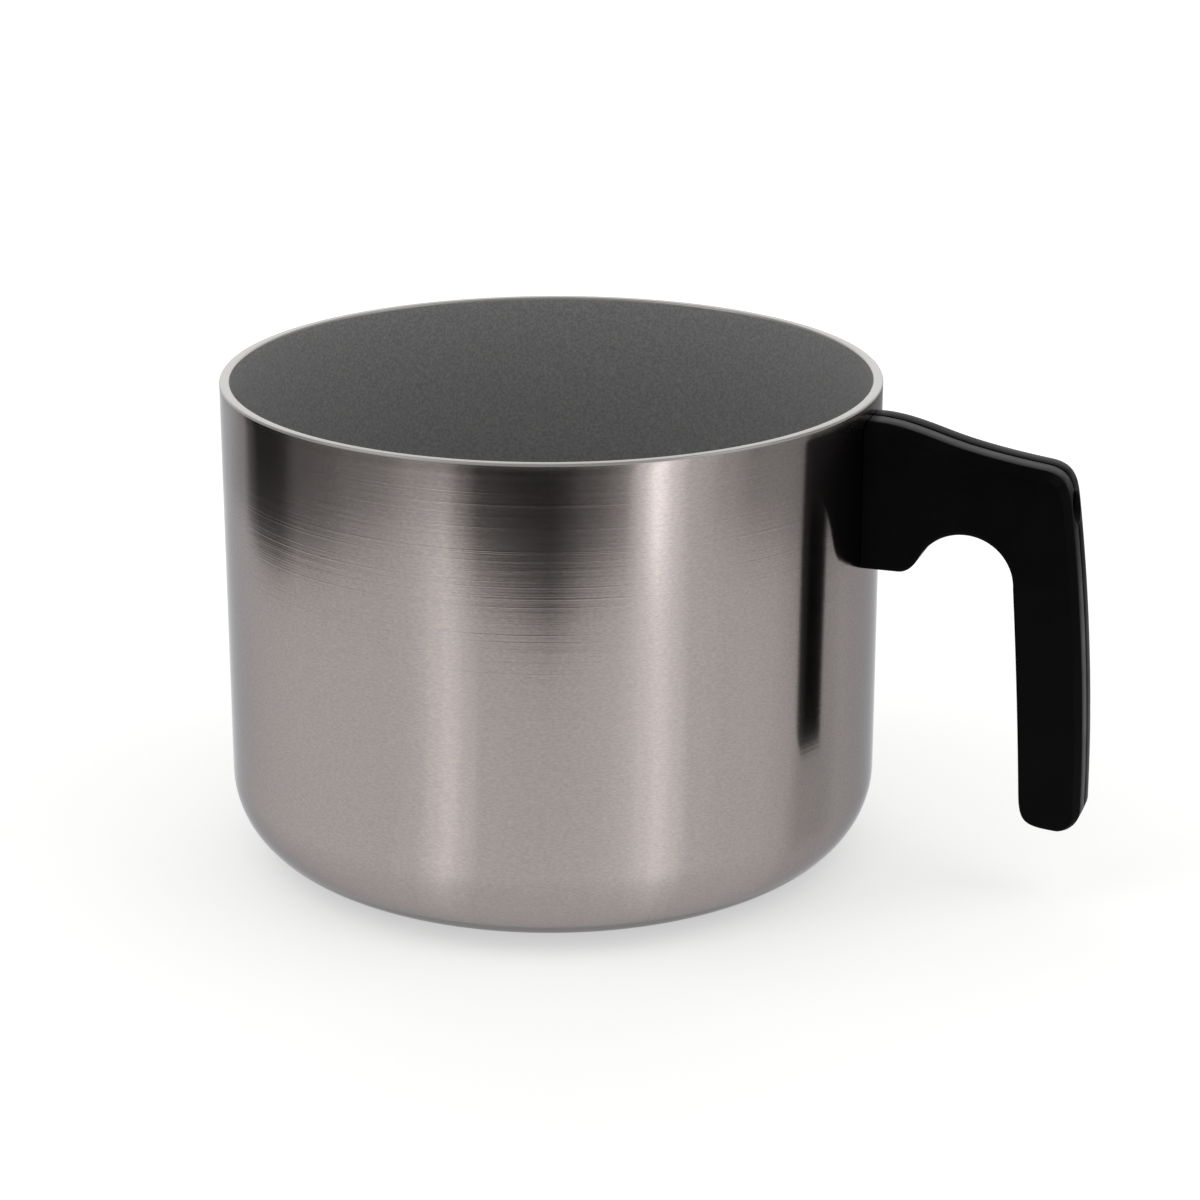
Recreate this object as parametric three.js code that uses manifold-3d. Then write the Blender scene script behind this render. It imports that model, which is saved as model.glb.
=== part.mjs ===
// Melting pot for candle wax: a straight-sided aluminium pot with a moulded handle screwed to its wall.
// Millimetres, +Z up. The origin is the centre of the base, on the plane the pot stands on.
// The handle points along +X. Nothing on it moves.
import * as THREE from "three";
import { mergeVertices } from "three/addons/utils/BufferGeometryUtils.js";
import Module from "manifold-3d";

const wasm = await Module();
wasm.setup();

// Clearance kept between neighbouring pieces.
const GAP = 0.3;

// Pot: one drawn shell.
const POT_RADIUS = 70;
const POT_HEIGHT = 104.3;
const POT_WALL = 2.15;
const POT_BASE = 3;
const POT_CORNER_RADIUS = 17.75;
const POT_RIM_ROUNDING = 0.4;
const POT_SIDES = 96;
const POT_CORNER_STEPS = 9;
const POT_RIM_STEPS = 2;

// Handle: one moulding, symmetrical about the plane y = 0. Its side outline is given as [x, z].
const HANDLE_THICKNESS = 13.5;
const HANDLE_CHAMFER = { across: 2, inward: 1.3, steps: 3 };
const HEAD_TOP = 101;
const HEAD_BOTTOM = 69.7;
const HEAD_TOP_FLAT_END = 71;
const HEAD_TOP_SWEEP = [
  [78, 100.2],
  [86, 97.9],
  [96.5, 95.45],
  [106.5, 93.9],
];
const SHOULDER_CONTROLS = [
  [111.6, 93.3],
  [112.3, 90.2],
];
const SHOULDER_END = [112.95, 85.4];
const BACK_CONTROL = [117.55, 52.7];
const GRIP_BACK = 117.55;
const GRIP_BOTTOM = 16.4;
const GRIP_HEEL_RADIUS = 4.6;
const GRIP_TOE_START = [109.5, 16.7];
const GRIP_TOE_CONTROLS = [
  [106, 17.3],
  [104.9, 18.2],
];
const GRIP_TOE_END = [104.6, 23.5];
const GRIP_FRONT_CONTROL = [103.5, 46];
const FINGER_NOTCH = { x: 91.24, z: 68.56, radius: 10.4, end: THREE.MathUtils.degToRad(163) };
const HEAD_LIP_CONTROL = [80.7, HEAD_BOTTOM];
const HEAD_LIP_END = [78.6, HEAD_BOTTOM];
const HANDLE_CURVE_STEPS = 9;

// Handle fixing: a riveted bracket holds a captive square nut, and one long screw pulls the handle to the wall.
const SCREW_Z = 85.8;
const SCREW_RADIUS = 2;
const SCREW_TIP_TO_WALL = 1.2;
const NUT_TO_WALL = 2.5;
const SCREW_HEAD_RADIUS = 2.7;
const SCREW_HEAD_HEIGHT = 3;
const SCREW_HEAD_SEAT = 98;
const SCREW_HEAD_ROUNDING = 0.5;
const DRIVER_CROSS = { across: 3.4, width: 0.8, depth: 1.4 };
const NUT_SIDE = 7;
const NUT_THICKNESS = 3.2;
const STRAP_THICKNESS = 1.5;
const STRAP_WIDTH = 9;
const STRAP_BEND = 1.8;
const FOOT_LENGTH = 6.4;
const RIVET_RADIUS = 1.5;
const RIVET_HEAD_RADIUS = 3.2;
const RIVET_HEAD_HEIGHT = 1.5;
const RIVET_TAIL_RADIUS = 2.7;
const RIVET_TAIL_HEIGHT = 1.4;
const POCKET_CLEARANCE = 0.8;
const SMALL_ROUND_SIDES = 32;

// Sizes that follow from the ones above.
const POT_INNER_RADIUS = POT_RADIUS - POT_WALL;
const STRAP_OUTER_X = POT_RADIUS + GAP + STRAP_THICKNESS;
const NUT_INNER_X = POT_RADIUS + NUT_TO_WALL;
const BRIDGE_INNER_X = NUT_INNER_X + NUT_THICKNESS + GAP;
const BRIDGE_OUTER_X = BRIDGE_INNER_X + STRAP_THICKNESS;
const LEG_INNER = NUT_SIDE / 2 + 2 * GAP;
const LEG_OUTER = LEG_INNER + STRAP_THICKNESS;
const FOOT_END = LEG_OUTER + FOOT_LENGTH;
const RIVET_OFFSET = (LEG_OUTER + FOOT_END) / 2;

const SATIN_ALUMINIUM = { color: 0xaaa39d, roughness: 0.34, metalness: 1 };
const BLACK_PHENOLIC = { color: 0x121213, roughness: 0.48, metalness: 0 };
const ZINC_PLATED_STEEL = { color: 0xb9bcc0, roughness: 0.3, metalness: 1 };
const SOFT_ALUMINIUM = { color: 0xc4c4c2, roughness: 0.42, metalness: 1 };

// A closed geometry as a solid that can be cut and joined.
function solid(geometry) {
  geometry.deleteAttribute("normal");
  geometry.deleteAttribute("uv");
  const merged = mergeVertices(geometry, 1e-4);
  const vertProperties = merged.attributes.position.array;
  const triVerts = new Uint32Array(merged.index.array);
  return new wasm.Manifold(new wasm.Mesh({ numProp: 3, vertProperties, triVerts }));
}

function piece(name, body, finish) {
  const { vertProperties, triVerts } = body.getMesh();
  const geometry = new THREE.BufferGeometry();
  geometry.setAttribute("position", new THREE.BufferAttribute(vertProperties, 3));
  geometry.setIndex(new THREE.BufferAttribute(triVerts, 1));
  geometry.computeVertexNormals();
  const mesh = new THREE.Mesh(geometry, new THREE.MeshStandardMaterial(finish));
  mesh.name = name;
  return mesh;
}

function arcPoints(centreX, centreY, radius, fromDegrees, toDegrees, steps) {
  return Array.from({ length: steps + 1 }, (_, step) => {
    const angle = THREE.MathUtils.degToRad(fromDegrees + ((toDegrees - fromDegrees) * step) / steps);
    return new THREE.Vector2(centreX + radius * Math.cos(angle), centreY + radius * Math.sin(angle));
  });
}

// A profile of [radius, height] points turned about an axis along +X, with height 0 at x = 0.
function turnedAlongX(profile) {
  return new THREE.LatheGeometry(profile, SMALL_ROUND_SIDES).rotateZ(-Math.PI / 2);
}

function rodAlongX(radius, fromX, toX, z) {
  const rod = new THREE.CylinderGeometry(radius, radius, toX - fromX, SMALL_ROUND_SIDES);
  rod.rotateZ(-Math.PI / 2);
  rod.translate((fromX + toX) / 2, 0, z);
  return solid(rod);
}

function block(fromX, toX, sizeY, sizeZ, z) {
  const box = new THREE.BoxGeometry(toX - fromX, sizeY, sizeZ);
  box.translate((fromX + toX) / 2, 0, z);
  return solid(box);
}

// A side outline in x and z given its thickness along Y, centred on y = 0.
function plate(outline, thickness, options) {
  const geometry = new THREE.ExtrudeGeometry(outline, options);
  geometry.computeBoundingBox();
  const { min, max } = geometry.boundingBox;
  geometry.translate(0, 0, -(min.z + max.z) / 2);
  geometry.scale(1, 1, thickness / (max.z - min.z));
  geometry.rotateX(Math.PI / 2);
  return solid(geometry);
}

// The space the pot's wall takes up, with the gap that other pieces keep to it.
function wallClearance() {
  const radius = POT_RADIUS + GAP;
  const sides = 2 * POT_SIDES;
  const drum = new THREE.CylinderGeometry(radius, radius, 2 * POT_HEIGHT, sides);
  drum.rotateX(Math.PI / 2);
  return solid(drum);
}

function rivetHeights() {
  return { bracket_rivet_upper: SCREW_Z + RIVET_OFFSET, bracket_rivet_lower: SCREW_Z - RIVET_OFFSET };
}

function potShell() {
  const innerCorner = POT_CORNER_RADIUS - POT_WALL;
  const edge = POT_RIM_ROUNDING;
  const profile = [
    new THREE.Vector2(0, 0),
    ...arcPoints(POT_RADIUS - POT_CORNER_RADIUS, POT_CORNER_RADIUS, POT_CORNER_RADIUS, -90, 0, POT_CORNER_STEPS),
    ...arcPoints(POT_RADIUS - edge, POT_HEIGHT - edge, edge, 0, 90, POT_RIM_STEPS),
    ...arcPoints(POT_INNER_RADIUS + edge, POT_HEIGHT - edge, edge, 90, 180, POT_RIM_STEPS),
    ...arcPoints(POT_INNER_RADIUS - innerCorner, POT_BASE + innerCorner, innerCorner, 0, -90, POT_CORNER_STEPS),
    new THREE.Vector2(0, POT_BASE),
  ];
  return solid(new THREE.LatheGeometry(profile, POT_SIDES).rotateX(Math.PI / 2));
}

function potBody() {
  const holes = Object.values(rivetHeights()).map((z) =>
    rodAlongX(RIVET_RADIUS + GAP, POT_INNER_RADIUS - POT_WALL, POT_RADIUS + POT_WALL, z),
  );
  return holes.reduce((pot, hole) => pot.subtract(hole), potShell());
}

function handleOutline() {
  const insideWall = POT_INNER_RADIUS - POT_WALL;
  const heelX = GRIP_BACK - GRIP_HEEL_RADIUS;
  const heelZ = GRIP_BOTTOM + GRIP_HEEL_RADIUS;
  const notch = FINGER_NOTCH;
  const outline = new THREE.Shape();
  outline.moveTo(insideWall, HEAD_TOP);
  outline.lineTo(HEAD_TOP_FLAT_END, HEAD_TOP);
  outline.splineThru(HEAD_TOP_SWEEP.map(([x, z]) => new THREE.Vector2(x, z)));
  outline.bezierCurveTo(...SHOULDER_CONTROLS.flat(), ...SHOULDER_END);
  outline.quadraticCurveTo(...BACK_CONTROL, GRIP_BACK, heelZ);
  outline.absarc(heelX, heelZ, GRIP_HEEL_RADIUS, 0, -Math.PI / 2, true);
  outline.lineTo(...GRIP_TOE_START);
  outline.bezierCurveTo(...GRIP_TOE_CONTROLS.flat(), ...GRIP_TOE_END);
  outline.quadraticCurveTo(...GRIP_FRONT_CONTROL, notch.x + notch.radius, notch.z);
  outline.absarc(notch.x, notch.z, notch.radius, 0, notch.end, false);
  outline.quadraticCurveTo(...HEAD_LIP_CONTROL, ...HEAD_LIP_END);
  outline.lineTo(insideWall, HEAD_BOTTOM);
  return outline;
}

// The handle's head is hollowed for the bracket, and the screw's bore runs out through the handle's back.
function handle() {
  const { across, inward, steps } = HANDLE_CHAMFER;
  const moulding = plate(handleOutline(), HANDLE_THICKNESS, {
    depth: HANDLE_THICKNESS - 2 * across,
    bevelThickness: across,
    bevelSize: inward,
    bevelOffset: -inward,
    bevelSegments: steps,
    curveSegments: HANDLE_CURVE_STEPS,
  });
  const pocketFloor = BRIDGE_OUTER_X + POCKET_CLEARANCE;
  const pocketWidth = STRAP_WIDTH + 2 * POCKET_CLEARANCE;
  const pocketHeight = 2 * (FOOT_END + POCKET_CLEARANCE);
  const beyondBack = GRIP_BACK + POT_WALL;
  return moulding
    .subtract(wallClearance())
    .subtract(block(POT_INNER_RADIUS, pocketFloor, pocketWidth, pocketHeight, SCREW_Z))
    .subtract(rodAlongX(SCREW_RADIUS + GAP, POT_RADIUS, beyondBack, SCREW_Z))
    .subtract(rodAlongX(SCREW_HEAD_RADIUS + GAP, SCREW_HEAD_SEAT, beyondBack, SCREW_Z));
}

// A hat-shaped steel strap: two feet on the pot's wall, and a bridge that stands off it to hold the nut.
function handleBracket() {
  const outline = new THREE.Shape();
  outline.moveTo(POT_RADIUS, FOOT_END);
  outline.lineTo(STRAP_OUTER_X, FOOT_END);
  outline.lineTo(STRAP_OUTER_X, LEG_OUTER);
  outline.lineTo(BRIDGE_OUTER_X - STRAP_BEND, LEG_OUTER);
  outline.quadraticCurveTo(BRIDGE_OUTER_X, LEG_OUTER, BRIDGE_OUTER_X, LEG_OUTER - STRAP_BEND);
  outline.lineTo(BRIDGE_OUTER_X, STRAP_BEND - LEG_OUTER);
  outline.quadraticCurveTo(BRIDGE_OUTER_X, -LEG_OUTER, BRIDGE_OUTER_X - STRAP_BEND, -LEG_OUTER);
  outline.lineTo(STRAP_OUTER_X, -LEG_OUTER);
  outline.lineTo(STRAP_OUTER_X, -FOOT_END);
  outline.lineTo(POT_RADIUS, -FOOT_END);
  outline.lineTo(POT_RADIUS, -LEG_INNER);
  outline.lineTo(BRIDGE_INNER_X, -LEG_INNER);
  outline.lineTo(BRIDGE_INNER_X, LEG_INNER);
  outline.lineTo(POT_RADIUS, LEG_INNER);
  const strap = plate(outline, STRAP_WIDTH, { depth: STRAP_WIDTH, bevelEnabled: false, curveSegments: 4 });
  const beyondBridge = BRIDGE_OUTER_X + GAP;
  return strap
    .subtract(wallClearance())
    .subtract(rodAlongX(SCREW_RADIUS + GAP, POT_INNER_RADIUS, beyondBridge, 0))
    .subtract(rodAlongX(RIVET_RADIUS + GAP, POT_INNER_RADIUS, beyondBridge, RIVET_OFFSET))
    .subtract(rodAlongX(RIVET_RADIUS + GAP, POT_INNER_RADIUS, beyondBridge, -RIVET_OFFSET));
}

// A domed head inside the pot, a shank through wall and strap, and a flat upset tail on the strap.
function bracketRivet() {
  const seat = POT_INNER_RADIUS - 2 * GAP;
  const tail = STRAP_OUTER_X + GAP;
  const domeRadius = (RIVET_HEAD_RADIUS ** 2 + RIVET_HEAD_HEIGHT ** 2) / (2 * RIVET_HEAD_HEIGHT);
  const domeEdge = THREE.MathUtils.radToDeg(Math.asin(RIVET_HEAD_RADIUS / domeRadius));
  const dome = arcPoints(0, seat - RIVET_HEAD_HEIGHT + domeRadius, domeRadius, -90, domeEdge - 90, 5);
  const profile = [
    ...dome,
    new THREE.Vector2(RIVET_RADIUS, seat),
    new THREE.Vector2(RIVET_RADIUS, tail),
    new THREE.Vector2(RIVET_TAIL_RADIUS, tail),
    new THREE.Vector2(RIVET_TAIL_RADIUS, tail + RIVET_TAIL_HEIGHT),
    new THREE.Vector2(0, tail + RIVET_TAIL_HEIGHT),
  ];
  return solid(turnedAlongX(profile));
}

function bracketNut() {
  const plateNut = block(NUT_INNER_X, NUT_INNER_X + NUT_THICKNESS, NUT_SIDE, NUT_SIDE, 0);
  return plateNut.subtract(rodAlongX(SCREW_RADIUS + GAP, POT_RADIUS, BRIDGE_INNER_X, 0));
}

function handleScrew() {
  const under = SCREW_HEAD_SEAT + GAP;
  const top = under + SCREW_HEAD_HEIGHT;
  const edge = SCREW_HEAD_ROUNDING;
  const profile = [
    new THREE.Vector2(0, POT_RADIUS + SCREW_TIP_TO_WALL),
    new THREE.Vector2(SCREW_RADIUS - edge, POT_RADIUS + SCREW_TIP_TO_WALL),
    new THREE.Vector2(SCREW_RADIUS, POT_RADIUS + SCREW_TIP_TO_WALL + edge),
    new THREE.Vector2(SCREW_RADIUS, under),
    new THREE.Vector2(SCREW_HEAD_RADIUS, under),
    ...arcPoints(SCREW_HEAD_RADIUS - edge, top - edge, edge, 0, 90, 2),
    new THREE.Vector2(0, top),
  ];
  const { across, width, depth } = DRIVER_CROSS;
  return solid(turnedAlongX(profile))
    .subtract(block(top - depth, top + GAP, across, width, 0))
    .subtract(block(top - depth, top + GAP, width, across, 0));
}

const pot = new THREE.Group();
pot.add(piece("pot_body", potBody(), SATIN_ALUMINIUM));
pot.add(piece("handle", handle(), BLACK_PHENOLIC));

const fixing = new THREE.Group();
fixing.position.z = SCREW_Z;
fixing.add(piece("handle_bracket", handleBracket(), ZINC_PLATED_STEEL));
fixing.add(piece("bracket_nut", bracketNut(), ZINC_PLATED_STEEL));
fixing.add(piece("handle_screw", handleScrew(), ZINC_PLATED_STEEL));
pot.add(fixing);

for (const [name, z] of Object.entries(rivetHeights())) {
  const rivet = piece(name, bracketRivet(), SOFT_ALUMINIUM);
  rivet.position.z = z;
  pot.add(rivet);
}

export default pot;
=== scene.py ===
"""A candle-wax melting pot: a satin-brushed aluminium pot, non-stick inside, with a black moulded handle.

Metres, +Z up. The pot's axis is the Z axis, its base stands on z = 0 and the handle points along +X.
"""
import math

import bmesh
import bpy
from mathutils import Matrix, Vector


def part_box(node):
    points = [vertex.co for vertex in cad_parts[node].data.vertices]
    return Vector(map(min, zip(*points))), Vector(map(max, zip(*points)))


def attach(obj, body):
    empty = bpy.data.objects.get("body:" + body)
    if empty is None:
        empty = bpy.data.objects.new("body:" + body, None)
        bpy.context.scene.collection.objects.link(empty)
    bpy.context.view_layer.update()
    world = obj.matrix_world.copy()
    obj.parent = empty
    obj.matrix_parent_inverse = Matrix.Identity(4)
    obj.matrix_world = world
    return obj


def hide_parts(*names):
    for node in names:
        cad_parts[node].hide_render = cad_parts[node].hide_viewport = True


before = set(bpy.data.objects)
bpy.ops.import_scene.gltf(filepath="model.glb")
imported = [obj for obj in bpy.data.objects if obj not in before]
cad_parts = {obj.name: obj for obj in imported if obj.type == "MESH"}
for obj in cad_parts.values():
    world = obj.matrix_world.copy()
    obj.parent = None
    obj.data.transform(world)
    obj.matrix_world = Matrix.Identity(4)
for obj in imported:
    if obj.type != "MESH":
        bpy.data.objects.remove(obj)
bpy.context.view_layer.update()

MM = 0.001

# Pot.
POT_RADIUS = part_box("pot_body")[1].x
POT_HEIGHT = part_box("pot_body")[1].z
POT_WALL = 2.15 * MM
POT_BASE = 3 * MM
POT_CORNER = 17.75 * MM
RIM_EDGE = 0.45 * MM
POT_SIDES = 288
POT_INNER = POT_RADIUS - POT_WALL

# Handle, with its side outline in millimetres.
GRIP_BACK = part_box("handle")[1].x / MM
GRIP_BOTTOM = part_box("handle")[0].z / MM
HEAD_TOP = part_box("handle")[1].z / MM
HEAD_BOTTOM = 69.7
HANDLE_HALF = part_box("handle")[1].y / MM
OUTLINE_STEP = 0.7
SEAT = POT_RADIUS + 0.12 * MM

# Handle fixing: two rivets, a strap, a nut and one long screw, all centred on the screw's axis.
SCREW_LOW, SCREW_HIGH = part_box("handle_screw")
SCREW_Z = (SCREW_LOW.z + SCREW_HIGH.z) / 2
SCREW_RADIUS = 2 * MM
SCREW_HOLE = 2.3 * MM
SCREW_HEAD = (SCREW_HIGH.z - SCREW_LOW.z) / 2
SCREW_HEAD_HEIGHT = 3 * MM
COUNTERBORE = SCREW_HEAD + 0.3 * MM
COUNTERBORE_FLOOR = 98 * MM
THREAD_PITCH = 0.7 * MM
THREAD_DEPTH = 0.4 * MM
THREAD_LENGTH = 14 * MM
STRAP_LOW, STRAP_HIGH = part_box("handle_bracket")
STRAP_THICK = 1.5 * MM
STRAP_FOOT = POT_RADIUS + 0.3 * MM + STRAP_THICK / 2
STRAP_LEG = 4.85 * MM
RIVETS = ("bracket_rivet_upper", "bracket_rivet_lower")
RIVET_HEIGHTS = {name: (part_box(name)[0].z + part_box(name)[1].z) / 2 for name in RIVETS}
RIVET_SHANK = 1.5 * MM
RIVET_HEAD = 3.2 * MM
RIVET_TAIL = 2.7 * MM
RIVET_HOLE = RIVET_SHANK + 0.05 * MM

# Turned pieces: points closer than WELD are joined, and a piece has up to FINISHES materials.
WELD = 0.0005 * MM
FINISHES = 3

# Camera.
VIEW_AZIMUTH = math.radians(18.39)
VIEW_ELEVATION = math.radians(18.67)
VIEW_DISTANCE = 0.7062
VIEW_LENS = 97.7
AIM_OFF_CENTRE = Vector((9.6, 3.6, 1.05)) * MM

# Sky and floor. The sky is white at the horizon and fades between two sines of the elevation.
SKY_OVERHEAD = 0.45
SKY_FADE = (0.05, 0.25)
FLOOR_HALF = 4.0
FLOOR_GLOW = 0.55

# Glowing cards that paint reflections in the metal: painted bright streaks and painted dark patches that
# show on the wall and nowhere else. The wall mirrors the floor at MIRROR_REACH times a point's own height,
# to the camera.
# CORNER_FADE and CARD_FAR are such heights on the wall, in millimetres.
MIRROR_REACH = 2.8
CARD_LIFT = 1 * MM
CARD_NEAR = 63 * MM
CARD_FAR = 540
# The cards' glow at their foot by the wall: a painted contact shade in the reflections.
CONTACT_SHADE_GLOW = 0.84
CORNER_FADE = 14
# Each entry's two brightnesses paint reflections: over 1 a painted bright streak, near 0 a painted dark
# patch.
CARDS = [
    (-90, 100, 1.0, 0.9),
    (-75, 100, 1.0, 0.95),
    (-66, 95, 1.0, 0.6),
    (-63, 89, 1.0, 0.15),
    (-60, 84, 1.0, 0.03),
    (-54, 81, 1.0, 0.03),
    (-48, 85, 1.0, 0.16),
    (-42, 87, 1.0, 0.19),
    (-36, 93, 1.0, 0.26),
    (-30, 99, 1.0, 0.3),
    (-24, 105, 1.08, 0.5),
    (-21, 106, 1.3, 0.5),
    (-18, 105, 1.5, 0.5),
    (-15, 97, 1.25, 0.2),
    (-12, 88, 1.02, 0.02),
    (-6, 78, 0.98, 0.0),
    (0, 71, 0.98, 0.0),
    (6, 82, 1.02, 0.1),
    (12, 90, 1.17, 0.35),
    (15, 90, 1.38, 1.2),
    (18, 90, 1.6, 2.6),
    (21, 95, 1.35, 1.6),
    (24, 95, 1.05, 1.0),
    (30, 100, 0.97, 0.62),
    (36, 96, 0.95, 0.4),
    (42, 93, 0.88, 0.4),
    (48, 90, 0.62, 0.36),
    (54, 90, 0.62, 0.2),
    (60, 90, 0.76, 0.1),
    (66, 90, 0.78, 0.2),
    (75, 95, 0.82, 0.35),
    (90, 100, 1.0, 0.5),
]


# ---------------------------------------------------------------- helpers


def linear(hex_colour):
    """An sRGB hex colour as linear RGBA."""
    channels = [int(hex_colour[i : i + 2], 16) / 255 for i in (1, 3, 5)]
    return (*[c / 12.92 if c <= 0.04045 else ((c + 0.055) / 1.055) ** 2.4 for c in channels], 1.0)


def add(tree, kind, inputs=None, **settings):
    """Adds a node, sets its properties, and gives its inputs values or other nodes' outputs."""
    made = tree.nodes.new(kind)
    for name, value in settings.items():
        setattr(made, name, value)
    for key, value in (inputs or {}).items():
        if isinstance(value, bpy.types.NodeSocket):
            tree.links.new(value, made.inputs[key])
        else:
            made.inputs[key].default_value = value
    return made


def material(name):
    """A new material and its node tree, emptied."""
    made = bpy.data.materials.new(name)
    made.use_nodes = True
    made.node_tree.nodes.clear()
    return made, made.node_tree


def finish_with(tree, shader):
    """Ends a material's node tree in its shader."""
    add(tree, "ShaderNodeOutputMaterial", {"Surface": shader.outputs["BSDF"]})


def new_object(name, mesh):
    """A new object in the scene, at the origin."""
    made = bpy.data.objects.new(name, mesh)
    bpy.context.scene.collection.objects.link(made)
    return made


def applied(piece):
    """The piece with its modifiers turned into plain mesh."""
    bpy.context.view_layer.update()
    result = bpy.data.meshes.new_from_object(piece.evaluated_get(bpy.context.evaluated_depsgraph_get()))
    piece.modifiers.clear()
    old = piece.data
    piece.data = result
    bpy.data.meshes.remove(old)
    result.name = piece.name
    return piece


def cut(piece, *cutters):
    """Takes the cutters' solids out of the piece."""
    for cutter in cutters:
        modifier = piece.modifiers.new("cut", "BOOLEAN")
        modifier.operation = "DIFFERENCE"
        modifier.solver = "EXACT"
        modifier.object = cutter
        applied(piece)
        bpy.data.objects.remove(cutter)
    return piece


def shade(piece, sharp_over=35):
    """Smooth faces, with the edges over an angle kept sharp."""
    mesh = piece.data
    mesh.polygons.foreach_set("use_smooth", [True] * len(mesh.polygons))
    mesh.set_sharp_from_angle(angle=math.radians(sharp_over))
    return piece


def arc(centre_x, centre_y, radius, start, end, steps):
    """Points along an arc, from one angle to another in degrees."""
    angles = [math.radians(start + (end - start) * i / steps) for i in range(steps + 1)]
    return [(centre_x + radius * math.cos(a), centre_y + radius * math.sin(a)) for a in angles]


def straight(start, end, step):
    """Points from start to end, no further apart than step, without the end itself."""
    count = max(1, math.ceil(math.dist(start, end) / step))
    return [tuple(a + (b - a) * i / count for a, b in zip(start, end)) for i in range(count)]


def bezier(points, steps):
    """Points along a Bezier curve of any degree."""
    curve = []
    for i in range(steps + 1):
        t = i / steps
        level = [Vector(p) for p in points]
        while len(level) > 1:
            level = [a.lerp(b, t) for a, b in zip(level, level[1:])]
        curve.append(tuple(level[0]))
    return curve


def grid_faces(rows, across, closed):
    """Quads of a grid of points laid row by row. Closed joins each row's last point to its first."""
    faces = []
    for row in range(rows - 1):
        for i in range(across if closed else across - 1):
            here, beside = row * across + i, row * across + (i + 1) % across
            faces.append((here, beside, beside + across, here + across))
    return faces


def outward(mesh):
    """Turns a closed mesh's faces outwards."""
    work = bmesh.new()
    work.from_mesh(mesh)
    bmesh.ops.recalc_face_normals(work, faces=work.faces)
    work.to_mesh(mesh)
    work.free()
    return mesh


def along_x(piece, height=None):
    """Lays a piece made about the Z axis along +X, at the screw's height or another."""
    lift = Matrix.Translation((0, 0, SCREW_Z if height is None else height))
    piece.data.transform(lift @ Matrix.Rotation(math.pi / 2, 4, "Y"))
    return piece


def cutter(outline, sides, thread=None):
    """A turned solid to cut with, from (radius, height) points that leave out the two on the axis."""
    closed = [(0, outline[0][1]), *outline, (0, outline[-1][1])]
    return turned("cutter", closed, sides, [BLACK_PHENOLIC], thread=thread)


def rounded_block(name, low, high, edge):
    """A block between two corners, its edges rounded."""
    work = bmesh.new()
    bmesh.ops.create_cube(work, size=1)
    for vertex in work.verts:
        vertex.co = Vector((a + (b - a) * (c + 0.5) for a, b, c in zip(low, high, vertex.co)))
    if edge:
        bmesh.ops.bevel(work, geom=work.edges[:], offset=edge, segments=3, profile=0.5, affect="EDGES")
    mesh = bpy.data.meshes.new(name)
    work.to_mesh(mesh)
    work.free()
    return new_object(name, mesh)


# ---------------------------------------------------------------- turned pieces, by Geometry Nodes


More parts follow.
